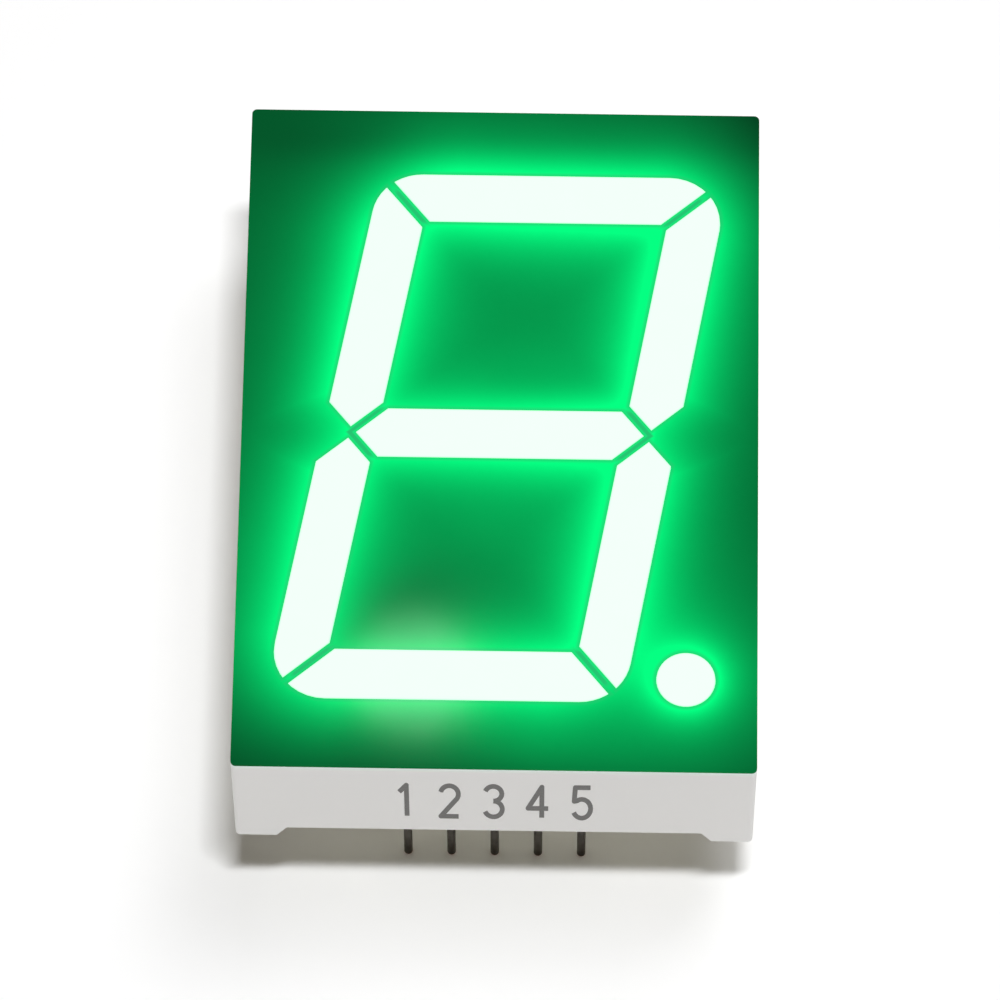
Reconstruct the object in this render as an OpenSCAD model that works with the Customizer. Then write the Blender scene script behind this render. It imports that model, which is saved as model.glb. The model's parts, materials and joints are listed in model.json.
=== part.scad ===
// One-digit seven segment display with a decimal point, standing face up on its pins.
// +X runs across the digit, +Y up the digit, +Z out of the face.
// The origin lies under the middle of the body, at the height of the pin tips.

/* [Body] */
// Width across the digit
body_w = 30; // [28.5:0.5:40]
// Length up the digit
body_l = 42.4; // [41.4:0.2:56]
// Depth from the face to the feet
body_d = 10; // [9:0.1:14]
// Radius of the four upright edges
edge_r = 0.3; // [0.2:0.1:0.7]
// Thickness of the end walls, and of the long walls near their ends
wall_t = 0.7; // [0.6:0.1:1]
// Thickness of the ledge inside each long wall
ledge_t = 0.35; // [0.2:0.05:0.6]
// Distance from each corner to the end of a ledge
ledge_inset = 3.6; // [3:0.2:8]
// Depth of a ledge's edge below the rim
ledge_drop = 0.3; // [0.1:0.1:0.8]
// Width of a corner foot along the end wall
foot_w = 2.4; // [1.5:0.1:4]
// Height of a foot past the notched edge
foot_h = 1.1; // [0.5:0.1:1.4]
// Run of the slope between foot and notch
foot_slope = 0.6; // [0.2:0.1:1.5]
// Radius of the round recess in one back corner
recess_r = 2.4; // [1.2:0.1:2.8]
// Thickness of the curved rim round that recess
recess_rim = 0.4; // [0.3:0.05:0.6]
// Depth of that recess
recess_d = 1.2; // [0.4:0.1:1.6]
// Radius of the nub inside one long wall
nub_r = 0.6; // [0.3:0.1:1]
// Length of the nub
nub_l = 1.2; // [0.5:0.1:1.4]

/* [Digit] */
// Height of the digit
digit_h = 34; // [28:0.5:34]
// Width of the digit, measured level
digit_w = 20.6; // [18:0.1:20.8]
// Lean of the digit in degrees
slant = 10; // [0:0.5:11]
// Thickness of a segment's stroke
stroke = 3.15; // [2.4:0.05:3.3]
// Gap between two segments
segment_gap = 0.5; // [0.3:0.05:0.8]
// Radius of the digit's four outer corners
digit_r = 3; // [1:0.1:3]
// Radius of the decimal point
point_r = 1.7; // [1.4:0.1:1.9]
// Distance from the digit's lower right corner across to the middle of the point
point_aside = 3.6; // [3.2:0.05:3.9]
// Height of the middle of the point over the foot of the digit
point_rise = 1.5; // [1:0.1:3]

/* [Reflector] */
// Length of a light well's floor
well_l = 8.4; // [7.4:0.1:9]
// Width of a light well's floor
well_w = 2; // [1.8:0.1:2.3]
// Radius of the point's well at its floor
point_well_r = 1.35; // [1.3:0.05:1.4]
// Wall left between a hollow in the reflector and the segments round it
core_wall = 1; // [0.8:0.1:1.6]
// Thickness of the face over a hollow
core_skin = 1.3; // [1:0.1:2]
// Radius of a locating peg
peg_r = 0.9; // [0.6:0.05:1]
// Length of a peg past the potting
peg_proud = 0.1; // [0.05:0.05:0.3]

/* [Layers] */
// Thickness of the black face film
film_t = 0.25; // [0.1:0.05:0.4]
// Thickness of the circuit board
board_t = 1.2; // [0.8:0.1:1.6]
// Thickness of the copper on the board
foil_t = 0.05; // [0.03:0.01:0.07]
// Room for the copper between board and reflector
foil_room = 0.1; // [0.08:0.01:0.2]
// Thickness of the potting
fill_t = 1.8; // [1.4:0.1:2.2]
// Depth of the potting's surface past the feet
fill_recess = 1.8; // [1.6:0.1:2.5]

/* [Pins] */
// Pins in each row
pins_per_row = 5; // [5]
// Distance between neighbouring pins
pin_pitch = 2.54; // [2.3:0.01:2.6]
// Distance between the two rows
row_spacing = 38.1; // [36.6:0.1:38.1]
// Radius of a pin
pin_r = 0.25; // [0.2:0.01:0.3]
// Extra radius of a pin's shoulder, which stands in the potting and seats against the board
shoulder_step = 0.2; // [0.17:0.01:0.25]
// Length of a pin past the feet
pin_out = 7; // [3:0.1:12]
// Height of the bevel at a pin's tip
pin_bevel = 0.08; // [0.04:0.01:0.12]
// Radius of a pin's head
head_r = 0.5; // [0.45:0.05:0.6]
// Thickness of a pin's head
head_t = 0.3; // [0.2:0.05:0.4]
// Radius of a solder joint at the board
solder_r = 0.85; // [0.7:0.05:0.95]
// Height of a solder joint
solder_h = 0.9; // [0.6:0.1:1]
// Radius of the ring of resin that climbs a pin
climb_r = 0.75; // [0.7:0.05:0.85]
// Height of that ring
climb_h = 0.2; // [0.1:0.05:0.3]
// Width of the thin end of that ring, and of a solder joint
cone_lip = 0.08; // [0.06:0.01:0.1]

/* [Board] */
// Distance of a vent hole from the digit's middle line
vent_aside = 3.3; // [2.4:0.1:4]
// Height of the inner vents over the middle of the digit
vent_near = 6.3; // [5:0.1:7]
// Height of the outer vents over the middle of the digit
vent_far = 12.2; // [9.5:0.1:12.4]
// Radius of a vent hole
vent_r = 1.1; // [0.6:0.05:1.2]
// Width of a track
track_w = 0.4; // [0.2:0.05:0.5]
// Distance from the digit or the point out to a track that runs beside it
lane_out = 0.3; // [0.2:0.05:0.5]
// Distance from a loop's strokes in to a track that runs beside them
lane_in = 1.5; // [1.3:0.1:1.7]
// Length of a pad
pad_l = 0.7; // [0.6:0.05:0.8]
// Width of a pad
pad_w = 0.8; // [0.6:0.05:1]
// Radius of the copper ring round a pin
ring_r = 0.95; // [0.9:0.05:1]

/* [Dies] */
// Distance between the two dies of a segment
die_spacing = 4.2; // [3.6:0.1:4.4]
// Side of a die
die_w = 0.36; // [0.2:0.02:0.5]
// Height of a die
die_h = 0.15; // [0.08:0.01:0.2]
// Distance from a die to the far end of its wire
wire_reach = 0.95; // [0.9:0.05:1.1]
// Radius of a bond wire
wire_r = 0.025; // [0.02:0.005:0.04]

/* [Clearances] */
// Gap round a cast piece
cast_gap = 0.02; // [0.01:0.01:0.04]
// Gap round the board and in its holes
board_gap = 0.1; // [0.05:0.01:0.2]
// Room kept round a die and its wire, and over a pin's head
die_room = 0.1; // [0.06:0.01:0.15]

/* [Hidden] */
$fn = 64;

// Overlap that a cut runs past a face by
over = 0.01;

// Heights, from the pin tips up
z_feet = pin_out;
z_fill = z_feet + fill_recess;
z_board = z_fill + fill_t;
z_board_top = z_board + board_t;
z_foil_top = z_board_top + foil_t;
z_deck = z_board_top + foil_room;
z_face = z_feet + body_d;
z_film = z_face - film_t;

// Inside of the shell
inner_w = body_w - 2 * wall_t;
inner_l = body_l - 2 * wall_t;
between_ledges = inner_w - 2 * ledge_t;
recess_corner = [body_w / 2, body_l / 2];

// The digit before it leans: half sizes, the middle line of an upright stroke,
// and the points on each corner's arc
half_w = digit_w / 2;
half_h = digit_h / 2;
bar_u = half_w - stroke / 2;
bar_v = half_h - stroke / 2;
lean = tan(slant);
arc_steps = 10;

// Pins count from the lower left along the lower row, then back along the upper row
shoulder_r = pin_r + shoulder_step;
z_shoulder = z_fill - climb_h / 2;
z_solder = z_board - foil_t - solder_h;
pin_count = 2 * pins_per_row;
pin_spots = [for (side = [-1, 1], i = [0:pins_per_row - 1])
    [side * ((pins_per_row - 1) / 2 - i) * pin_pitch, side * row_spacing / 2]];

// Middle and direction of each segment
SEGMENTS = ["a", "b", "c", "d", "e", "f", "g"];
segment_middles = [for (p = [[0, bar_v], [bar_u, half_h / 2], [bar_u, -half_h / 2], [0, -bar_v],
                             [-bar_u, -half_h / 2], [-bar_u, half_h / 2], [0, 0]]) leaned(p)];
segment_turns = [for (name = SEGMENTS) search(name, "adg") == [] ? 90 - slant : 0];
point_middle = leaned([half_w, -half_h]) + [point_aside, point_rise];

// Pegs under two opposite corners of the digit, vents inside its two loops
peg_spots = [leaned([-bar_u, bar_v]), leaned([bar_u, -bar_v])];
vent_spots = [for (v = [vent_far, vent_near, -vent_near, -vent_far], u = [-vent_aside, vent_aside])
    if (u > 0 || v != vent_near) leaned([u, v])];

// Leans a point of the upright digit
function leaned(p) = [p[0] + p[1] * lean, p[1]];

// Middle of a pin, by its number
function spot(number) = pin_spots[number - 1];

// Number of a segment in SEGMENTS
function place(name) = search(name, "abcdefg")[0];

// Point that lies along a segment, a distance from its middle
function along(name, distance) =
    let (turn = segment_turns[place(name)])
    segment_middles[place(name)] + distance * [cos(turn), sin(turn)];

// Copper end of a segment's chain of dies, side being -1 or 1
function chain_end(name, side) = along(name, side * (die_spacing + wire_reach) / 2);

// Shift along the level direction that a mitre takes, with every edge moved in by an inset
function mitre(inset) = (segment_gap / 2 + inset) * sqrt(2);

// Corners of the top segment before the digit leans
function level_bar(inset) =
    let (m = mitre(inset), out_u = half_w - inset - m, in_u = half_w - stroke + inset - m)
    [[-out_u, half_h - inset], [out_u, half_h - inset],
     [in_u, half_h - stroke + inset], [-in_u, half_h - stroke + inset]];

// Corners of the upper left segment before the digit leans
function upright_bar(inset) =
    let (m = mitre(inset), out_u = inset - half_w, in_u = stroke - inset - half_w,
         foot_v = stroke / 2 - inset + m)
    [[out_u, half_h - inset - m], [in_u, half_h - stroke + inset - m],
     [in_u, foot_v], [-bar_u, m], [out_u, foot_v]];

// Corners of the middle segment before the digit leans
function middle_bar(inset) =
    let (tip = bar_u - mitre(inset), v = stroke / 2 - inset)
    [[-tip, 0], [v - tip, v], [tip - v, v], [tip, 0], [tip - v, -v], [v - tip, -v]];

// Corners of any segment, mirrored from those three
function bar(name, inset) =
    name == "a" ? level_bar(inset) :
    name == "b" ? flipped(upright_bar(inset), -1, 1) :
    name == "c" ? flipped(upright_bar(inset), -1, -1) :
    name == "d" ? flipped(level_bar(inset), 1, -1) :
    name == "e" ? flipped(upright_bar(inset), 1, -1) :
    name == "f" ? upright_bar(inset) :
    middle_bar(inset);

function flipped(points, sign_u, sign_v) = [for (p = points) [p[0] * sign_u, p[1] * sign_v]];

// Outline of the whole leaning digit with its round corners
function digit_outline(inset) =
    let (arc_u = half_w - digit_r / cos(slant), arc_v = half_h - digit_r,
         corners = [[arc_u, arc_v, -slant, 90], [-arc_u, arc_v, 90, 180 - slant],
                    [-arc_u, -arc_v, 180 - slant, 270], [arc_u, -arc_v, 270, 360 - slant]])
    [for (c = corners, i = [0:arc_steps])
        let (angle = c[2] + (c[3] - c[2]) * i / arc_steps)
        leaned([c[0], c[1]]) + (digit_r - inset) * [cos(angle), sin(angle)]];

// A flat shape made solid from one height to another
module layer(z_low, z_high) {
    translate([0, 0, z_low]) linear_extrude(z_high - z_low) children();
}

module round_plate(w, l, r) {
    square([w - 2 * r, l], center = true);
    square([w, l - 2 * r], center = true);
    for (x = [-1, 1], y = [-1, 1])
        translate([x * (w / 2 - r), y * (l / 2 - r)]) circle(r);
}

module segment_shape(name, inset) {
    intersection() {
        polygon(digit_outline(inset));
        polygon([for (p = bar(name, inset)) leaned(p)]);
    }
}

module on_segment(name) {
    translate(segment_middles[place(name)]) rotate(segment_turns[place(name)]) children();
}

// Places children at the two cells of a segment, each a die and its wire
module at_cells(name) {
    on_segment(name) for (side = [-1, 1]) translate([side * die_spacing / 2, 0, 0]) children();
}

// The taper from a segment's opening in the face down to its well's floor
module segment_taper(name, inset, floor_low, floor_high) {
    hull() {
        layer(z_film, z_face) segment_shape(name, inset);
        layer(floor_low, floor_high)
            on_segment(name) square([well_l - 2 * inset, well_w - 2 * inset], center = true);
    }
}

module point_taper(inset, z_low) {
    translate(point_middle) {
        translate([0, 0, z_low])
            cylinder(h = z_film - z_low, r1 = point_well_r - inset, r2 = point_r - inset);
        translate([0, 0, z_film]) cylinder(h = film_t, r = point_r - inset);
    }
}

// Hollow behind the face inside the upper (side 1) or lower (side -1) loop of the digit
module core(side) {
    core_u = half_w - stroke - core_wall;
    near_v = stroke / 2 + core_wall;
    far_v = half_h - stroke - core_wall;
    corners = [[-core_u, near_v], [core_u, near_v], [core_u, far_v], [-core_u, far_v]];
    layer(z_deck - over, z_film - core_skin)
        polygon([for (p = flipped(corners, 1, side)) leaned(p)]);
}

// Gap between the two feet of both end walls
module notches() {
    top_w = body_w / 2 - foot_w - foot_slope;
    low_w = body_w / 2 - foot_w;
    rotate([90, 0, 0])
        linear_extrude(body_l + 2 * over, center = true)
            polygon([[-low_w, z_feet - over], [low_w, z_feet - over], [low_w, z_feet],
                     [top_w, z_feet + foot_h], [-top_w, z_feet + foot_h], [-low_w, z_feet]]);
}

module ledges() {
    ledge_l = body_l - 2 * ledge_inset;
    for (side = [-1, 1])
        layer(z_feet + ledge_drop, z_deck)
            translate([side * (between_ledges + ledge_t) / 2, 0])
                square([ledge_t + over, ledge_l], center = true);
}

module nub() {
    translate([-between_ledges / 2, 0, z_feet + ledge_drop]) cylinder(h = nub_l, r = nub_r);
}

module corner_post() {
    layer(z_feet, z_deck)
        intersection() {
            round_plate(body_w, body_l, edge_r);
            translate(recess_corner) circle(recess_r);
        }
}

module housing() {
    color([0.9, 0.9, 0.88])
        difference() {
            union() {
                difference() {
                    layer(z_feet, z_film) round_plate(body_w, body_l, edge_r);
                    layer(z_feet - over, z_deck) square([inner_w, inner_l], center = true);
                }
                ledges();
                nub();
                corner_post();
                for (p = peg_spots)
                    translate([p[0], p[1], z_fill - peg_proud])
                        cylinder(h = z_deck + over - z_fill + peg_proud, r = peg_r);
            }
            for (name = SEGMENTS) segment_taper(name, 0, z_deck - over, z_deck);
            point_taper(0, z_deck - over);
            core(1);
            core(-1);
            notches();
            for (p = pin_spots)
                translate([p[0], p[1], z_deck - over])
                    cylinder(h = z_foil_top + head_t + die_room - z_deck + over, r = head_r + die_room);
            translate([recess_corner[0], recess_corner[1], z_feet - over])
                cylinder(h = recess_d + over, r = recess_r - recess_rim);
        }
}

module face_film() {
    color([0.06, 0.09, 0.07])
        layer(z_film, z_face)
            difference() {
                round_plate(body_w, body_l, edge_r);
                for (name = SEGMENTS) segment_shape(name, 0);
                translate(point_middle) circle(point_r);
            }
}

// Room in a segment's floor for one die and its wire
module die_pocket() {
    room_l = wire_reach + die_w / 2 + wire_r + 2 * die_room;
    room_w = die_w + 2 * die_room;
    room_top = z_foil_top + die_h + wire_reach / 2 + wire_r + die_room;
    translate([-(wire_reach + die_w) / 2 - die_room, -room_w / 2, z_deck - over])
        cube([room_l, room_w, room_top - z_deck + over]);
}

module segment(name) {
    color([0.93, 1, 0.96])
        difference() {
            segment_taper(name, cast_gap, z_deck, z_deck + over);
            at_cells(name) die_pocket();
        }
}

module decimal_point() {
    color([0.93, 1, 0.96])
        difference() {
            point_taper(cast_gap, z_deck);
            translate(point_middle) die_pocket();
        }
}

// Shell's inside outline below the reflector, a gap smaller all round
module inside_shape(gap) {
    difference() {
        union() {
            square([between_ledges - 2 * gap, inner_l - 2 * gap], center = true);
            for (side = [-1, 1])
                translate([0, side * (inner_l - ledge_inset + wall_t) / 2])
                    square([inner_w - 2 * gap, ledge_inset - wall_t - 2 * gap], center = true);
        }
        translate(recess_corner) circle(recess_r + gap);
    }
}

module circuit_board() {
    color([0.87, 0.88, 0.84])
        layer(z_board, z_board_top)
            difference() {
                square([between_ledges - 2 * board_gap, inner_l - 2 * board_gap], center = true);
                translate(recess_corner) circle(recess_r + board_gap);
                for (p = pin_spots) translate(p) circle(pin_r + board_gap);
                for (p = peg_spots) translate(p) circle(peg_r + board_gap);
                for (p = vent_spots) translate(p) circle(vent_r);
            }
}

// A track through a list of points, with round bends
module track(points) {
    for (i = [1:len(points) - 1]) {
        step = points[i] - points[i - 1];
        translate(points[i - 1])
            rotate(atan2(step[1], step[0]))
                translate([0, -track_w / 2]) square([norm(step), track_w]);
        translate(points[i]) circle(track_w / 2);
    }
}

module cell_pads() {
    for (side = [-1, 1])
        translate([side * wire_reach / 2, 0]) square([pad_l, pad_w], center = true);
}

// Tracks from the pins to the chains of dies, and the shared track that joins all chains
module tracks() {
    left_u = -half_w - lane_out;
    loop_u = half_w - stroke - lane_in;
    loop_v = stroke / 2 + lane_in;
    middle = leaned([bar_u / 2, 0]);
    half_stroke = [0, stroke / 2];
    point_pad = [wire_reach / 2, 0];
    lane_x = point_middle[0] + point_r + lane_out;

    // One track to a pin
    track([spot(1), chain_end("e", -1)]);
    track([spot(2), chain_end("d", -1) - half_stroke, chain_end("d", -1)]);
    track([spot(4), (peg_spots[1] + chain_end("d", 1)) / 2, chain_end("c", -1)]);
    track([spot(5), point_middle - point_pad]);
    track([spot(6), chain_end("b", 1)]);
    track([spot(7), chain_end("a", 1) + half_stroke, chain_end("a", 1)]);
    track([spot(9), (peg_spots[0] + chain_end("a", -1)) / 2, chain_end("f", 1)]);
    track([spot(10), leaned([left_u, bar_v]), leaned([left_u, 0]), chain_end("g", -1)]);

    // Shared by all
    track([spot(8), chain_end("a", -1) + half_stroke, chain_end("a", -1), leaned([-loop_u, vent_far]),
           leaned([-loop_u, loop_v]), leaned([loop_u, loop_v]), middle, leaned([loop_u, -loop_v]),
           chain_end("c", 1)]);
    track([leaned([-loop_u, loop_v]), chain_end("f", -1)]);
    track([leaned([loop_u, loop_v]), chain_end("b", -1)]);
    track([middle, chain_end("g", 1)]);
    track([leaned([loop_u, -loop_v]), leaned([-loop_u, -loop_v]), chain_end("e", 1)]);
    track([leaned([0, -loop_v]), leaned([0, -vent_far]), chain_end("d", 1),
           chain_end("d", 1) - half_stroke, spot(3)]);
    track([middle, [lane_x, 0], [lane_x, point_middle[1] + point_r], point_middle + point_pad]);
}

module copper_tracks() {
    color([0.8, 0.55, 0.3]) {
        layer(z_board_top, z_foil_top)
            difference() {
                union() {
                    tracks();
                    for (name = SEGMENTS) {
                        at_cells(name) cell_pads();
                        on_segment(name)
                            square([die_spacing - wire_reach, track_w], center = true);
                    }
                    translate(point_middle) cell_pads();
                    for (p = pin_spots) translate(p) circle(ring_r);
                }
                for (p = pin_spots) translate(p) circle(pin_r + board_gap);
            }
        layer(z_board - foil_t, z_board)
            for (p = pin_spots) translate(p) difference() {
                circle(ring_r);
                circle(pin_r + board_gap);
            }
    }
}

module die() {
    translate([-(wire_reach + die_w) / 2, -die_w / 2, z_foil_top]) cube([die_w, die_w, die_h]);
}

module leds(name) {
    color([0.35, 0.8, 0.55]) at_cells(name) die();
}

module led_point() {
    color([0.35, 0.8, 0.55]) translate(point_middle) die();
}

// Half a turn of gold wire from the top of a die, and its straight end down to the pad
module bond_wire() {
    arc_r = wire_reach / 2;
    wire_z = z_foil_top + die_h;
    translate([0, 0, wire_z])
        rotate([90, 0, 0])
            rotate_extrude(angle = 180) translate([arc_r, 0]) circle(wire_r);
    translate([arc_r, 0, z_foil_top]) cylinder(h = die_h, r = wire_r);
}

module bond_wires() {
    color("gold") {
        for (name = SEGMENTS) at_cells(name) bond_wire();
        translate(point_middle) bond_wire();
    }
}

// Body of one solder joint, grown by a gap all round, with its bore left out
module solder_cone(gap) {
    translate([0, 0, z_solder - gap])
        cylinder(h = solder_h + gap, r1 = shoulder_r + cone_lip + gap, r2 = solder_r + gap);
}

module solder_joints() {
    color([0.72, 0.73, 0.74])
        for (p = pin_spots) translate(p) difference() {
            solder_cone(0);
            translate([0, 0, z_solder - over])
                cylinder(h = solder_h + 2 * over, r = shoulder_r + cast_gap);
        }
}

module potting() {
    color([0.93, 0.93, 0.87])
        difference() {
            union() {
                layer(z_fill, z_board) inside_shape(cast_gap);
                for (p = pin_spots) translate([p[0], p[1], z_fill - climb_h])
                    cylinder(h = climb_h, r1 = pin_r + cone_lip, r2 = climb_r);
            }
            for (p = pin_spots) translate(p) {
                translate([0, 0, z_fill - climb_h - over])
                    cylinder(h = climb_h + over, r = pin_r + cast_gap);
                translate([0, 0, z_shoulder - cast_gap])
                    cylinder(h = z_board - z_shoulder, r = shoulder_r + cast_gap);
                translate([0, 0, z_board - foil_t - cast_gap])
                    cylinder(h = foil_t + cast_gap + over, r = ring_r + cast_gap);
                solder_cone(cast_gap);
            }
            for (p = peg_spots) translate([p[0], p[1], z_fill - over])
                cylinder(h = fill_t + 2 * over, r = peg_r + cast_gap);
        }
}

module pin(number) {
    color([0.55, 0.52, 0.46])
        translate(spot(number)) {
            cylinder(h = pin_bevel, r1 = pin_r - pin_bevel, r2 = pin_r);
            translate([0, 0, pin_bevel]) cylinder(h = z_foil_top - pin_bevel, r = pin_r);
            translate([0, 0, z_shoulder])
                cylinder(h = z_board - foil_t - z_shoulder, r = shoulder_r);
            translate([0, 0, z_foil_top]) cylinder(h = head_t, r = head_r);
        }
}

housing();
face_film();
for (name = SEGMENTS) {
    segment(name);
    leds(name);
}
decimal_point();
circuit_board();
copper_tracks();
led_point();
bond_wires();
solder_joints();
potting();
for (number = [1:pin_count])
    pin(number);
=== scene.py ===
import json
import math

import bpy
from mathutils import Matrix, Vector
from mathutils.geometry import delaunay_2d_cdt


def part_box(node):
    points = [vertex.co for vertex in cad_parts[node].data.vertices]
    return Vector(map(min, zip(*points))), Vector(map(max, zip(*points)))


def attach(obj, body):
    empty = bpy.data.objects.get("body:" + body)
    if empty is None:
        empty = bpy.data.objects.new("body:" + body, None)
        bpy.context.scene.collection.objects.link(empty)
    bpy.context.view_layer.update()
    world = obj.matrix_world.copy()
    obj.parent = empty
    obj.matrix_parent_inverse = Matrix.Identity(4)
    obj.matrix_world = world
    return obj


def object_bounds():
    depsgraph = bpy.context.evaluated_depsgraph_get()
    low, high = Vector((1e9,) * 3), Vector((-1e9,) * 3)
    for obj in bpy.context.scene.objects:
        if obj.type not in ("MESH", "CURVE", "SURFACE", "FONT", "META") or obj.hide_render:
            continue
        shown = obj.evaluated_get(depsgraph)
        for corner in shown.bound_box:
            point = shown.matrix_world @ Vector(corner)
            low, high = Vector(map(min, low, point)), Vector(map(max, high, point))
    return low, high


# Looks of a lit seven segment display: a finish for every piece of the CAD, the numbers printed
# over its pins, and the table, light and camera that show it.

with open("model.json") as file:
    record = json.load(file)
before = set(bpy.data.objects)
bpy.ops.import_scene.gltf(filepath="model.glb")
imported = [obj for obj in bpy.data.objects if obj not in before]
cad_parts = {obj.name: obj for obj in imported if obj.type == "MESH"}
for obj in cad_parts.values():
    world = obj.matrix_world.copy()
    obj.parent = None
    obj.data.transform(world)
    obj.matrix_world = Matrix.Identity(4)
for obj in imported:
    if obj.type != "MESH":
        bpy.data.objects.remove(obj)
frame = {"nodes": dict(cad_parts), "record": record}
cad_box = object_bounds()

MM = 0.001

# The digit, as part.scad draws it, in millimetres from the middle of the body. A U is a distance
# across from the digit's leaning middle line, and a V is a distance up or down from its middle.
DIGIT_W = 20.6
DIGIT_H = 34.0
STROKE = 3.15
SEGMENT_GAP = 0.5
CORNER_R = 3.0
SLANT = math.radians(10)
LEAN = math.tan(SLANT)
LEVEL = math.cos(SLANT)
POINT_R = 1.7
POINT_ASIDE = 3.6
POINT_RISE = 1.5

HALF_W = DIGIT_W / 2
HALF_H = DIGIT_H / 2
BAR_U = HALF_W - STROKE / 2
BAR_V = HALF_H - STROKE / 2
INNER_U = HALF_W - STROKE
INNER_V = HALF_H - STROKE
MITRE = SEGMENT_GAP / math.sqrt(2)
DIAGONAL = math.sqrt(0.5)
POINT_X = HALF_W - HALF_H * LEAN + POINT_ASIDE
POINT_Y = POINT_RISE - HALF_H

# Seven vent holes of the board, in rows of two, less the one that the board doesn't have
VENT_R = 1.1
VENT_U = 3.3
VENT_NEAR = 6.3
VENT_FAR = 12.2
VENTS = [(u, y) for y in (VENT_FAR, VENT_NEAR, -VENT_NEAR, -VENT_FAR) for u in (-VENT_U, VENT_U)]
VENTS.remove((-VENT_U, VENT_NEAR))

PIN_PITCH = 2.54
PINS_PER_ROW = 5

# Heights of the feet and the face, the wall by the digit's foot, and the shell's far corner
low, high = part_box("housing")
FEET = low.z / MM
FRONT = low.y / MM
CORNER_X = high.x / MM
CORNER_Y = high.y / MM
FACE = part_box("face_film")[1].z / MM


# ---------------------------------------------------------------- shader tools

class Nodes:
    """A node tree, and the one way to add a node to it."""

    def __init__(self, tree):
        self.tree = tree

    def add(self, kind, settings=None, sockets=None):
        """Adds a node: its type, then its settings, then the values or links of its sockets."""
        node = self.tree.nodes.new("ShaderNode" + kind)
        for name, value in (settings or {}).items():
            setattr(node, name, value)
        for name, value in (sockets or {}).items():
            self.feed(node.inputs[name], value)
        return node

    def feed(self, socket, value):
        """Links a varying value to a socket, or sets a constant one."""
        if isinstance(value, Channel):
            value = value.socket
        if isinstance(value, bpy.types.NodeSocket):
            self.tree.links.new(value, socket)
        else:
            socket.default_value = value

    def mix(self, share, first, second):
        """Colour between two colours. A Mix node has its colour sockets at 6, 7 and 2."""
        node = self.add("Mix", {"data_type": "RGBA"}, {0: share, 6: first, 7: second})
        return node.outputs[2]

    def scale(self, share, vector):
        """A colour or a place times a number."""
        node = self.add("VectorMath", {"operation": "SCALE"}, {0: vector, "Scale": share})
        return node.outputs[0]


class Channel:
    """A number that varies over a surface. Working with it adds Math nodes, and comparing it
    gives 1 or 0."""

    def __init__(self, nodes, socket):
        self.nodes = nodes
        self.socket = socket

    def math(self, operation, *others):
        values = dict(enumerate((self, *others)))
        node = self.nodes.add("Math", {"operation": operation}, values)
        return Channel(self.nodes, node.outputs[0])

    def __add__(self, other):
        return self.math("ADD", other)

    def __sub__(self, other):
        return self.math("SUBTRACT", other)

    def __mul__(self, other):
        return self.math("MULTIPLY", other)

    def __truediv__(self, other):
        return self.math("DIVIDE", other)

    def __pow__(self, other):
        return self.math("POWER", other)

    def __gt__(self, other):
        return self.math("GREATER_THAN", other)

    def __rsub__(self, other):
        return self * -1 + other

    def __neg__(self):
        return self * -1

    def __abs__(self):
        return self.math("ABSOLUTE")

    __radd__ = __add__
    __rmul__ = __mul__

    def root(self):
        return self.math("SQRT")

    def exp(self):
        return self.math("EXPONENT")

    def at_least(self, other):
        return self.math("MAXIMUM", other)

    def at_most(self, other):
        return self.math("MINIMUM", other)

    def rise(self, start, end):
        """0 before start, 1 past end, and smooth between. It falls if end comes first."""
        node = self.nodes.add(
            "MapRange",
            {"interpolation_type": "SMOOTHSTEP"},
            {"Value": self, "From Min": start, "From Max": end},
        )
        return Channel(self.nodes, node.outputs["Result"])

    def between(self, least, most):
        """Spreads 0 to 1 over the range from least to most."""
        return self * (most - least) + least


class Finish(Nodes):
    """One material. Lengths in it are millimetres."""

    def __init__(self, name, **constants):
        self.material = bpy.data.materials.new(name)
        self.material.use_nodes = True
        super().__init__(self.material.node_tree)
        self.shader = self.tree.nodes["Principled BSDF"]
        self.set(**constants)
        self.place = self.scale(1 / MM, self.add("TexCoord").outputs["Object"])
        parts = self.add("SeparateXYZ", {}, {"Vector": self.place}).outputs
        self.x, self.y, self.z = (Channel(self, part) for part in parts)

    def set(self, **sockets):
        """Sets sockets of the shader, to constants or to what varies over the surface."""
        for name, value in sockets.items():
            self.feed(self.shader.inputs[name.replace("_", " ")], value)

    def noise(self, size, detail=2.0, stretch=(1, 1, 1)):
        """Soft blotches of about that size, from 0 to 1."""
        node = self.add("VectorMath", {"operation": "MULTIPLY"}, {0: self.place, 1: stretch})
        sockets = {"Vector": node.outputs[0], "Scale": 1 / size, "Detail": detail}
        return Channel(self, self.add("TexNoise", {}, sockets).outputs["Fac"])

    def relief(self, height, depth):
        """Bump from a height of 0 to 1, with its full depth in millimetres."""
        node = self.add("Bump", {}, {"Height": height, "Distance": depth * MM})
        self.set(Normal=node.outputs["Normal"])


def rgb(red, green, blue):
    """Linear colour from the usual 0 to 255 values."""
    shares = [value / 255 for value in (red, green, blue)]
    return (*(s / 12.92 if s <= 0.04045 else ((s + 0.055) / 1.055) ** 2.4 for s in shares), 1)


# ---------------------------------------------------------------- the lit digit

def distance(across, up):
    return (across * across + up * up).root()


def hill(across, up, width, height):
    """A soft round rise, 1 in its middle."""
    across = across / width
    up = up / height
    return (-(across * across + up * up)).exp()


def lean_u(finish):
    """Distance across from the digit's leaning middle line, less than 0 on its left."""
    return finish.x - finish.y * LEAN


def from_middle(finish):
    """The digit's U and V, both 0 or more."""
    return abs(lean_u(finish)), abs(finish.y)


def from_point(finish):
    """Distance from the rim of the decimal point."""
    return distance(finish.x - POINT_X, finish.y - POINT_Y) - POINT_R


def past_diagonal(u, v):
    """Distance past the diagonal where a level segment meets an upright, towards the upright."""
    return (u - v - (HALF_W - HALF_H)) * DIAGONAL


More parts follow.
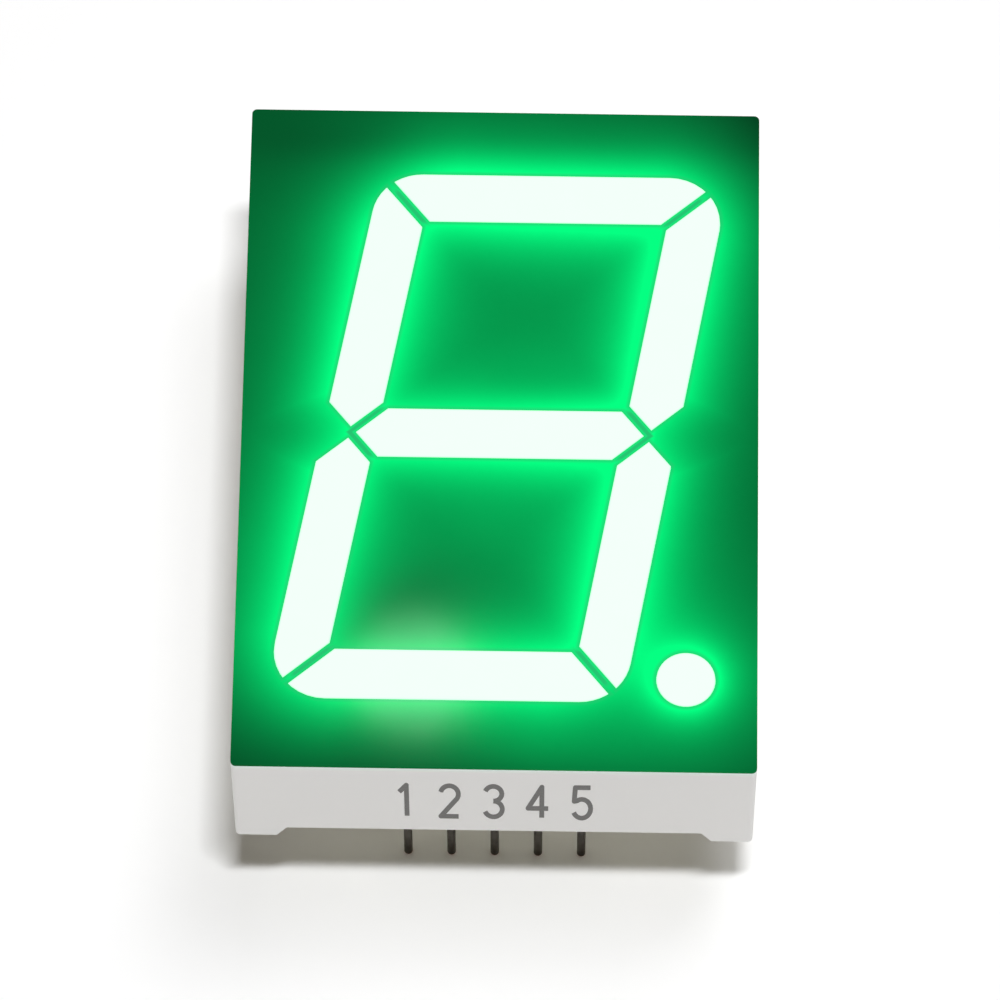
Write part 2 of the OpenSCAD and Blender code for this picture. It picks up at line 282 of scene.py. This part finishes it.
def beyond_outline(u, v, radius):
    """Distance from an outline like the digit's, with round corners, 0 or less within it."""
    across = (u * LEVEL - (HALF_W * LEVEL - radius)).at_least(0)
    along = (v - (HALF_H - radius)).at_least(0)
    return distance(across, along) - radius


# Stands for a distance that is never reached
FAR_OFF = 9.0


def corner_cut(finish):
    """How far a point lies past the digit's round corners, and far below 0 elsewhere.

    The lower half is the upper half turned round, so that two corners do for four."""
    half = (finish.y > 0).between(-1, 1)
    x = finish.x * half
    y = finish.y * half
    far = None
    for side in (1, -1):
        middle_y = HALF_H - CORNER_R
        middle_x = side * (HALF_W - CORNER_R / LEVEL) + middle_y * LEAN
        across = x - middle_x
        up = y - middle_y
        in_corner = (across * math.sin(SLANT) + up * LEVEL > 0) * (across * side > 0)
        cut = (distance(across, up) - CORNER_R + FAR_OFF) * in_corner - FAR_OFF
        far = cut if far is None else far.at_least(cut)
    return far


def depth_in_segment(finish):
    """Depth inside the outline of whichever segment, or the decimal point, a point lies in.

    A shape is the greatest of the distances past its edges, which is less than 0 inside it."""
    u, v = from_middle(finish)
    diagonal = past_diagonal(u, v)
    level = (v - HALF_H).at_least(INNER_V - v).at_least(diagonal + SEGMENT_GAP / 2)
    upright = ((u - HALF_W) * LEVEL).at_least((INNER_U - u) * LEVEL)
    upright = upright.at_least(SEGMENT_GAP / 2 - diagonal)
    upright = upright.at_least((abs(u - BAR_U) - v + MITRE) * DIAGONAL)
    middle = (v - STROKE / 2).at_least((u + v - BAR_U + MITRE) * DIAGONAL)
    nearest = level.at_most(upright).at_most(middle).at_least(corner_cut(finish))
    return -nearest.at_most(from_point(finish))


# The segments' glow, painted into the black film's emission. A level is a share of full green, and
# a reach is the distance over which a glow falls to about a third. ASIDE and UP say how much more
# of a glow there is at the digit's right edge and at its top than in its middle.
GREEN = (0.0, 1.0, 0.221)

# Outside the digit. The outline that this glow follows has rounder corners, and it folds into
# the digit's waist.
OUTER_GLOW = 0.88
OUTER_REACH = 1.87
OUTER_ASIDE = -0.0515
OUTER_UP = 0.14
OUTER_CORNER_R = 4.7
FOLD_BLUR = 1.4
FOLD_SHIFT = 1.0

# Inside the digit's loops. The glow is least in the middle, the bar at a loop's foot gives a
# smaller share, and a higher BLEND makes the glows of two bars meet more sharply.
LOOP_GLOW = 0.84
LOOP_LEAST = 0.14
LOOP_REACH = 1.6
LOOP_ASIDE = 0.2472
LOOP_UP = 0.20
LOOP_FOOT = 0.67
LOOP_BLEND = 3.5

# Half the width of the change from the outer glow to that of the loops, which runs along the
# segments' middle lines
CHANGE = 0.4

# Round the decimal point: a tight glow and a wide haze
POINT_GLOW = 0.79
POINT_REACH = 0.8
POINT_HAZE = 0.37
HAZE_REACH = 4.3

# A faint wash of painted green light over the whole film: its level, its middle, and how wide
# and high it is
WASH = 0.135
WASH_U = -8.0
WASH_Y = 6.0
WASH_W = 60.0
WASH_H = 23.0

# Patches where the film's painted glow is brighter or dimmer
# Broad patches with more or less light: how much more, the middle's x and y, and how wide and
# high
UNEVEN = (
    (0.085, -14.2, -11.0, 4.6, 8.0),
    (0.06, 3.5, -19.9, 6.5, 2.0),
    (-0.075, 1.5, 19.0, 12.0, 1.4),
    (-0.09, 2.4, 3.0, 5.0, 1.4),
    (-0.05, -4.0, -10.7, 5.0, 2.0),
    (0.05, -0.6, -6.0, 6.0, 2.4),
)

# The film's painted glow is dim at its top right corner: by how much, and how far that reaches
# across and down
DIM = 0.6
DIM_W = 4.2
DIM_H = 6.2

# The film's painted glow is a darker green along the narrow webs between segments, and at the
# film's cut edge round a segment.
# The pairs say how far from its middle or its end a web starts to show and shows in full.
WEB = (0.018, 0.55, 0.165, 1)
WEB_ACROSS = (0.21, 0.06)
WEB_INNER_END = (-0.4, 0.1)
WEB_SIDE_END = (0.0, -0.6)
WEB_OUTER_END = (-0.1, -0.8)
WEB_WAIST_END = (0.3, -0.2)
CUT_EDGE = 0.62
CUT_EDGE_ACROSS = (-0.28, -0.03)


def tilt(finish, aside, up):
    """How much of a glow there is from side to side and from foot to top, 1 in the middle."""
    return lean_u(finish) / HALF_W * aside + finish.y / HALF_H * up + 1


def outer_glow(finish):
    """Painted light on the film outside the digit."""
    u, v = from_middle(finish)
    fold = (u - BAR_U - distance(v, FOLD_BLUR)) * DIAGONAL + FOLD_SHIFT
    away = beyond_outline(u, v, OUTER_CORNER_R).at_least(fold).at_least(0)
    return (away / -OUTER_REACH).exp() * OUTER_GLOW * tilt(finish, OUTER_ASIDE, OUTER_UP)


def loop_glow(finish):
    """Painted light on the film inside the digit's two loops, from the segments on all four sides.
    """
    u, _ = from_middle(finish)
    upper = finish.y > 0
    from_side = (INNER_U - u) * LEVEL
    from_top = upper * INNER_V - (1 - upper) * STROKE / 2 - finish.y
    from_foot = finish.y + (1 - upper) * INNER_V - upper * STROKE / 2
    total = 0
    for away, share in ((from_side, 1), (from_top, 1), (from_foot, LOOP_FOOT)):
        total = (away.at_least(0) * (-LOOP_BLEND / LOOP_REACH)).exp() * share + total
    level = total ** (1 / LOOP_BLEND) * LOOP_GLOW + LOOP_LEAST
    return level * tilt(finish, LOOP_ASIDE, LOOP_UP)


def glow(finish):
    """All the green light painted on the film."""
    u, v = from_middle(finish)
    in_loop = u.rise(BAR_U + CHANGE, BAR_U - CHANGE) * v.rise(BAR_V + CHANGE, BAR_V - CHANGE)
    outer = outer_glow(finish)
    total = outer + (loop_glow(finish) - outer) * in_loop
    past = from_point(finish).at_least(0)
    total = total + (past / -POINT_REACH).exp() * POINT_GLOW
    total = total + (past / -HAZE_REACH).exp() * POINT_HAZE
    total = total + hill(lean_u(finish) - WASH_U, finish.y - WASH_Y, WASH_W, WASH_H) * WASH
    # Patches of brighter and dimmer painted glow
    for more, x, y, width, height in UNEVEN:
        total = total + hill(finish.x - x, finish.y - y, width, height) * more
    to_corner = (finish.x - CORNER_X) / DIM_W + (finish.y - CORNER_Y) / DIM_H
    return total * (1 - to_corner.exp() * DIM)


def webs(finish):
    """How much darker the film's painted glow is: 1 along the webs, and less at its cut edge."""
    u, v = from_middle(finish)
    across = abs(past_diagonal(u, v))
    corner = across.rise(*WEB_ACROSS) * (v - INNER_V).rise(*WEB_INNER_END)
    corner = corner * (u - HALF_W).rise(*WEB_SIDE_END) * corner_cut(finish).rise(*WEB_OUTER_END)
    across = abs(u + v - BAR_U) * DIAGONAL
    waist = across.rise(*WEB_ACROSS) * (v - STROKE / 2).rise(*WEB_WAIST_END)
    cut_edge = depth_in_segment(finish).rise(*CUT_EDGE_ACROSS) * CUT_EDGE
    return corner.at_least(waist).at_least(cut_edge)


def make_film():
    finish = Finish(
        "black_satin_film", Specular_IOR_Level=0.0, Coat_Roughness=0.045, Emission_Strength=1.0
    )
    # The segments' glow is painted into the film's emission, in soft clouds
    cloud = finish.noise(4.0) * 0.08 + finish.noise(0.35) * 0.04 + 0.94
    light = finish.scale((glow(finish) * cloud).at_most(1), GREEN)
    finish.set(Emission_Color=finish.mix(webs(finish), light, WEB))
    speck = finish.noise(0.12)
    finish.set(Base_Color=finish.mix(speck, (0.0, 0.003, 0.002, 1), (0.001, 0.006, 0.004, 1)))
    finish.set(Roughness=finish.noise(2.5).between(0.36, 0.48))
    finish.set(Coat_Weight=finish.noise(1.5).between(0.022, 0.034))
    finish.relief(finish.noise(0.09) * 0.7 + finish.noise(0.5) * 0.3, 0.004)
    return finish.material


# The lit resin is green at a segment's rim and nearly white past it
RESIN_RIM = (0.25, 0.92, 0.45, 1)
RESIN_CORE = (0.58, 0.93, 0.60, 1)
RIM_ACROSS = (-0.04, 0.14)


def make_lit_resin():
    finish = Finish(
        "lit_milky_resin", Roughness=0.3, Specular_IOR_Level=0.1, Emission_Strength=1.0
    )
    core = depth_in_segment(finish).rise(*RIM_ACROSS)
    finish.set(Emission_Color=finish.mix(core, RESIN_RIM, RESIN_CORE))
    cloud = finish.noise(1.6).between(0.975, 1.025)
    finish.set(Base_Color=finish.scale(cloud, (0.30, 0.36, 0.33)))
    finish.relief(finish.noise(0.8), 0.003)
    return finish.material


# ---------------------------------------------------------------- the shell and the rest

# Green light that leaks through the shell's rim, painted into the shell's emission. It is full
# LEAK_FULL under the face, and gone LEAK_GONE under it.
LEAK = (0.0, 0.11, 0.08)
LEAK_FULL = 0.15
LEAK_GONE = 0.8


def make_shell():
    finish = Finish("white_moulded_shell", Specular_IOR_Level=0.5, Emission_Strength=1.0)
    blotch = finish.noise(3.0) * 0.6 + finish.noise(0.6) * 0.4
    finish.set(Base_Color=finish.mix(blotch, (0.95, 0.965, 0.99, 1), (0.97, 0.98, 1.0, 1)))
    finish.set(Roughness=finish.noise(1.2).between(0.44, 0.60))
    # The rim's green glow, painted into the shell's emission
    leak = finish.z.rise(FACE - LEAK_GONE, FACE - LEAK_FULL) * blotch.between(0.85, 1.15)
    finish.set(Emission_Color=finish.scale(leak, LEAK))
    finish.relief(finish.noise(0.10, 3) * 0.7 + finish.noise(0.35) * 0.3, 0.006)
    return finish.material


# The vent holes show through the resin as soft dots: how soft their rims are, out and in from
# the hole's own radius, and how strongly they show
DOT_OUT = 0.25
DOT_IN = 0.45
DOT_SHOW = 0.9


def make_potting():
    finish = Finish("cream_potting_resin")
    u = lean_u(finish)
    dots = None
    for vent_u, vent_y in VENTS:
        dot = distance(u - vent_u, finish.y - vent_y).rise(VENT_R + DOT_OUT, VENT_R - DOT_IN)
        dots = dot if dots is None else dots.at_least(dot)
    cream = finish.mix(finish.noise(6.0, 3), rgb(236, 236, 220), rgb(243, 244, 231))
    finish.set(Base_Color=finish.mix(dots * DOT_SHOW, cream, rgb(172, 168, 148)))
    finish.set(Roughness=finish.noise(4.0).between(0.28, 0.40))
    finish.relief(finish.noise(6.0, 1), 0.02)
    return finish.material


# A pin's tip was cut after plating, so that bare metal shows there
BARE_H = 0.04
BARE_FADE = 0.1


def make_tin():
    finish = Finish("dull_tin_and_painted_shade", Metallic=1.0)
    streak = finish.noise(0.12, 3, (1, 1, 0.12))
    # The plated colour is a near-black brown, darker than tin: the pins' own dull olive, and
    # painted shade from under the body
    plated_and_shaded = finish.mix(streak, rgb(27, 23, 14), rgb(58, 50, 35))
    bare = finish.z.rise(BARE_H + BARE_FADE, BARE_H)
    finish.set(Base_Color=finish.mix(bare, plated_and_shaded, rgb(176, 120, 84)))
    finish.set(Roughness=finish.noise(0.5).between(0.25, 0.50))
    finish.relief(streak, 0.006)
    return finish.material


def make_speckled(name, dark, light, size, roughness, bump, **constants):
    """A finish of two close colours in fine blotches, for the pieces sealed inside."""
    finish = Finish(name, **constants)
    blotch = finish.noise(size, 3)
    finish.set(Base_Color=finish.mix(blotch, dark, light))
    finish.set(Roughness=finish.noise(size * 2).between(*roughness))
    finish.relief(blotch, bump)
    return finish.material


def make_metal(name, dark, light, size, roughness, bump):
    return make_speckled(name, dark, light, size, roughness, bump, Metallic=1.0)


def make_dies():
    finish = Finish("lit_crystal", Roughness=0.2, Emission_Strength=1.0)
    finish.set(Base_Color=finish.mix(finish.noise(0.08), rgb(90, 190, 130), rgb(130, 220, 160)))
    bright = finish.noise(0.15).between(0.7, 1.0)
    finish.set(Emission_Color=finish.scale(bright, (0.1, 1.0, 0.4)))
    return finish.material


finishes = {
    "white_shell": make_shell(),
    "black_face": make_film(),
    "lit_segment": make_lit_resin(),
    "cream_resin": make_potting(),
    "tinned_pin": make_tin(),
    "die": make_dies(),
    "board": make_speckled(
        "white_board_lacquer", rgb(222, 224, 214), rgb(236, 238, 230), 0.8, (0.35, 0.50), 0.01
    ),
    "copper": make_metal(
        "copper_foil", rgb(196, 120, 78), rgb(222, 150, 106), 0.3, (0.25, 0.45), 0.004
    ),
    "gold": make_metal(
        "gold_wire", rgb(226, 176, 84), rgb(244, 204, 120), 0.05, (0.18, 0.28), 0.001
    ),
    "solder": make_metal(
        "bright_solder", rgb(188, 190, 194), rgb(214, 216, 220), 0.25, (0.2, 0.4), 0.01
    ),
}

for part in frame["record"]["subparts"]:
    node = frame["nodes"][part["node"]]
    node.data.materials.clear()
    node.data.materials.append(finishes[part["material_slot"]])


# ---------------------------------------------------------------- pin numbers on the wall

# The figures are drawn with even strokes and then stretched tall up the wall. Their ink stands
# INK_PROUD of the wall and starts INK_SUNK within it.
NUMBER_W = 1.3
NUMBER_H = 5.0
NUMBER_STROKE = 0.28
NUMBER_TALL = 2.3
NUMBER_RISE = 2.75
INK_PROUD = 0.008
INK_SUNK = 0.004
BEND_SIDES = 16


def make_ink():
    finish = Finish("grey_print", Roughness=0.55, Specular_IOR_Level=0.3)
    finish.set(Base_Color=finish.mix(finish.noise(0.2), rgb(106, 106, 106), rgb(124, 124, 124)))
    finish.relief(finish.noise(0.1), 0.004)
    return finish.material


def arc(middle_x, middle_y, radius_x, radius_y, start, end, steps=16):
    """Points along part of an ellipse, from one angle in degrees to another."""
    angles = [math.radians(start + (end - start) * i / steps) for i in range(steps + 1)]
    return [(middle_x + radius_x * math.cos(a), middle_y + radius_y * math.sin(a)) for a in angles]


# Middle lines of each figure's strokes before the stretch, from the middle of its foot. They
# keep to about SIDE of the middle, and stand from 0 to TOP.
SIDE = (NUMBER_W - NUMBER_STROKE) / 2
TOP = NUMBER_H / NUMBER_TALL - NUMBER_STROKE
FIGURES = {
    "1": [[(-0.34, TOP - 0.42), (0.08, TOP), (0.08, 0)]],
    "2": [arc(0, TOP - SIDE, SIDE, SIDE, 165, -35) + [(-SIDE, 0), (SIDE, 0)]],
    "3": [
        arc(-0.02, TOP - 0.24 * TOP, SIDE * 0.95, 0.24 * TOP, 160, -90),
        arc(-0.02, 0.26 * TOP, SIDE, 0.26 * TOP, 90, -160),
    ],
    "4": [[(0.22, 0), (0.22, TOP), (-SIDE - 0.06, 0.3 * TOP), (SIDE + 0.08, 0.3 * TOP)]],
    "5": [
        [(SIDE * 0.9, TOP), (-SIDE * 0.8, TOP), (-SIDE * 0.9, 0.55 * TOP)]
        + arc(-0.02, 0.31 * TOP, SIDE, 0.31 * TOP, 125, -155)
    ],
}


def flat_strokes(strokes, width):
    """Even strokes of ink as one flat shape: its corners and its triangles."""
    half = width / 2
    outlines = []
    for stroke in strokes:
        points = [Vector(point) for point in stroke]
        for start, end in zip(points, points[1:]):
            along = (end - start).normalized()
            aside = Vector((-along.y, along.x)) * half
            outlines.append([start + aside, start - aside, end - aside, end + aside])
        turns = [math.tau * i / BEND_SIDES for i in range(BEND_SIDES)]
        for bend in points[1:-1]:
            outlines.append([bend + Vector((math.cos(t), math.sin(t))) * half for t in turns])
    corners = []
    faces = []
    for outline in outlines:
        faces.append(list(range(len(corners), len(corners) + len(outline))))
        corners.extend(outline)
    inside = 1
    weld = 1e-5
    corners, _, triangles, _, _, sources = delaunay_2d_cdt(corners, [], faces, inside, weld)
    return corners, [triangle for triangle, source in zip(triangles, sources) if source]


def put(thing):
    """Puts a mesh, a lamp or a camera into the scene."""
    item = bpy.data.objects.new(thing.name, thing)
    bpy.context.scene.collection.objects.link(item)
    return item


def print_number(pin, ink):
    """Prints one pin's number on the wall over that pin."""
    corners, triangles = flat_strokes(FIGURES[str(pin)], NUMBER_STROKE)
    middle = (pin - (PINS_PER_ROW + 1) / 2) * PIN_PITCH
    places = []
    for corner in corners:
        up = (corner.y + NUMBER_STROKE / 2) * NUMBER_TALL
        places.append(Vector((middle + corner.x, FRONT + INK_SUNK, FEET + NUMBER_RISE + up)) * MM)
    mesh = bpy.data.meshes.new(f"pin_number_{pin}")
    mesh.from_pydata(places, [], triangles)
    mesh.materials.append(ink)
    number = put(mesh)
    layer = number.modifiers.new("ink", "SOLIDIFY")
    layer.thickness = (INK_PROUD + INK_SUNK) * MM
    layer.offset = 1
    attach(number, "root")


grey_print = make_ink()
for pin in range(1, PINS_PER_ROW + 1):
    print_number(pin, grey_print)


# ---------------------------------------------------------------- floor, light and camera

# The light on the table adds up to 1. SKY is the sky's share. A softbox has its share, then how
# far it hangs to the right and back for a height of 1, and then its width and depth for that.
SKY = 0.11
SKY_COLOUR = (1.0, 0.90, 0.77)
SOFTBOXES = {
    "front_softbox": (0.65, (0.06, -0.147), (0.18, 0.06)),
    "side_softbox": (0.24, (0.27, 0.33), (0.45, 0.45)),
}
SOFTBOX_HEIGHT = 1.5

# Colour of the ground as it is seen, and of the table as it lights what stands on it, and half
# the table's width in metres
WHITE = (1, 1, 1, 1)
TABLE_LIT = (0.98, 0.95, 0.90, 1)
TABLE_REACH = 1.5

# The camera's way round from the front and up, its roll, its distance in metres from a point
# inside the body, how far that point lies under the face, and its focal length
AZIMUTH = math.radians(1.1)
ELEVATION = math.radians(64.2)
ROLL = math.radians(-0.16)
DISTANCE = 0.478
BELOW_FACE = 0.0088
FOCAL_LENGTH = 291.6

# A small far lamp: where on the film its image lies for the camera, its radius, how far it
# hangs from there, all in millimetres, and its radiance
IMAGE_X = -4.6
IMAGE_Y = -15.4
LAMP_R = 10.5
LAMP_AWAY = 1000
LAMP_RADIANCE = 100


def plain_ray(nodes):
    """1 for what the camera sees, also in a mirror or through glass, and 0 for light."""
    path = nodes.add("LightPath")
    kinds = ("Camera", "Glossy", "Transmission")
    straight, mirrored, through = (Channel(nodes, path.outputs[f"Is {kind} Ray"]) for kind in kinds)
    return straight.at_least(mirrored).at_least(through)


def make_table():
    """White where it is seen, near white where it gives light, and open from below."""
    finish = Finish("white_table", Roughness=0.9, Specular_IOR_Level=0.0)
    finish.set(Base_Color=finish.mix(plain_ray(finish), TABLE_LIT, WHITE))
    below = finish.add("NewGeometry").outputs["Backfacing"]
    clear = finish.add("BsdfTransparent").outputs[0]
    both = finish.add("MixShader", {}, {0: below, 1: finish.shader.outputs[0], 2: clear})
    finish.feed(finish.tree.nodes["Material Output"].inputs["Surface"], both.outputs[0])
    return finish.material


def lay_table():
    mesh = bpy.data.meshes.new("table_top")
    reach = TABLE_REACH
    corners = [(-reach, -reach, 0), (reach, -reach, 0), (reach, reach, 0), (-reach, reach, 0)]
    mesh.from_pydata(corners, [], [(0, 1, 2, 3)])
    mesh.materials.append(make_table())
    put(mesh)


def light_sky():
    """A dim warm sky for light, and a white one where it is seen."""
    world = bpy.data.worlds.new("studio")
    bpy.context.scene.world = world
    world.use_nodes = True
    sky = Nodes(world.node_tree)
    background = sky.tree.nodes["Background"]
    plain = plain_ray(sky)
    sky.feed(background.inputs["Strength"], plain.between(SKY, 1))
    sky.feed(background.inputs["Color"], sky.mix(plain, (*SKY_COLOUR, 1), WHITE))


def stand(item, at, back):
    """Stands a lamp or a camera at a place, looking away from the direction of its back."""
    turn = back.to_track_quat("Z", "Y").to_matrix().to_4x4()
    item.matrix_world = Matrix.Translation(at) @ turn


def hang_softbox(name, share, slopes, size):
    """A softbox that gives its share of the light, in the colour that evens out the sky's.

    A lamp's radiance is its energy divided by pi and its area, and white has a brightness of 1
    where the light that falls on it adds up to pi."""
    colour = [(1 - SKY * c) / (1 - SKY) for c in SKY_COLOUR]
    way = Vector((*slopes, 1))
    softbox = bpy.data.lights.new(name, "AREA")
    softbox.shape = "RECTANGLE"
    softbox.size = size[0] * SOFTBOX_HEIGHT
    softbox.size_y = size[1] * SOFTBOX_HEIGHT
    softbox.energy = share * math.pi**2 * SOFTBOX_HEIGHT**2 * way.length**3 * max(colour)
    softbox.color = [c / max(colour) for c in colour]
    stand(put(softbox), way * SOFTBOX_HEIGHT, way)


def stand_camera():
    lens = bpy.data.cameras.new("camera")
    lens.lens = FOCAL_LENGTH
    level = math.cos(ELEVATION)
    back = Vector((math.sin(AZIMUTH) * level, -math.cos(AZIMUTH) * level, math.sin(ELEVATION)))
    aim = Vector((0, 0, cad_box[1].z - BELOW_FACE))
    camera = put(lens)
    stand(camera, aim + back * DISTANCE, back)
    camera.matrix_world = camera.matrix_world @ Matrix.Rotation(ROLL, 4, "Z")
    bpy.context.scene.camera = camera
    return camera


def hang_round_lamp(camera):
    """A lamp that the film mirrors to the camera, and which stays there in other views."""
    spot = Vector((IMAGE_X, IMAGE_Y, FACE)) * MM
    to_camera = (camera.matrix_world.translation - spot).normalized()
    way = Vector((-to_camera.x, -to_camera.y, to_camera.z))
    lamp = bpy.data.lights.new("round_lamp", "AREA")
    lamp.shape = "DISK"
    lamp.size = 2 * LAMP_R * MM
    lamp.energy = LAMP_RADIANCE * math.pi**2 * (LAMP_R * MM) ** 2
    stand(put(lamp), spot + way * LAMP_AWAY * MM, way)


lay_table()
light_sky()
for name, (share, slopes, size) in SOFTBOXES.items():
    hang_softbox(name, share, slopes, size)
hang_round_lamp(stand_camera())
bpy.context.scene.view_settings.view_transform = "Standard"
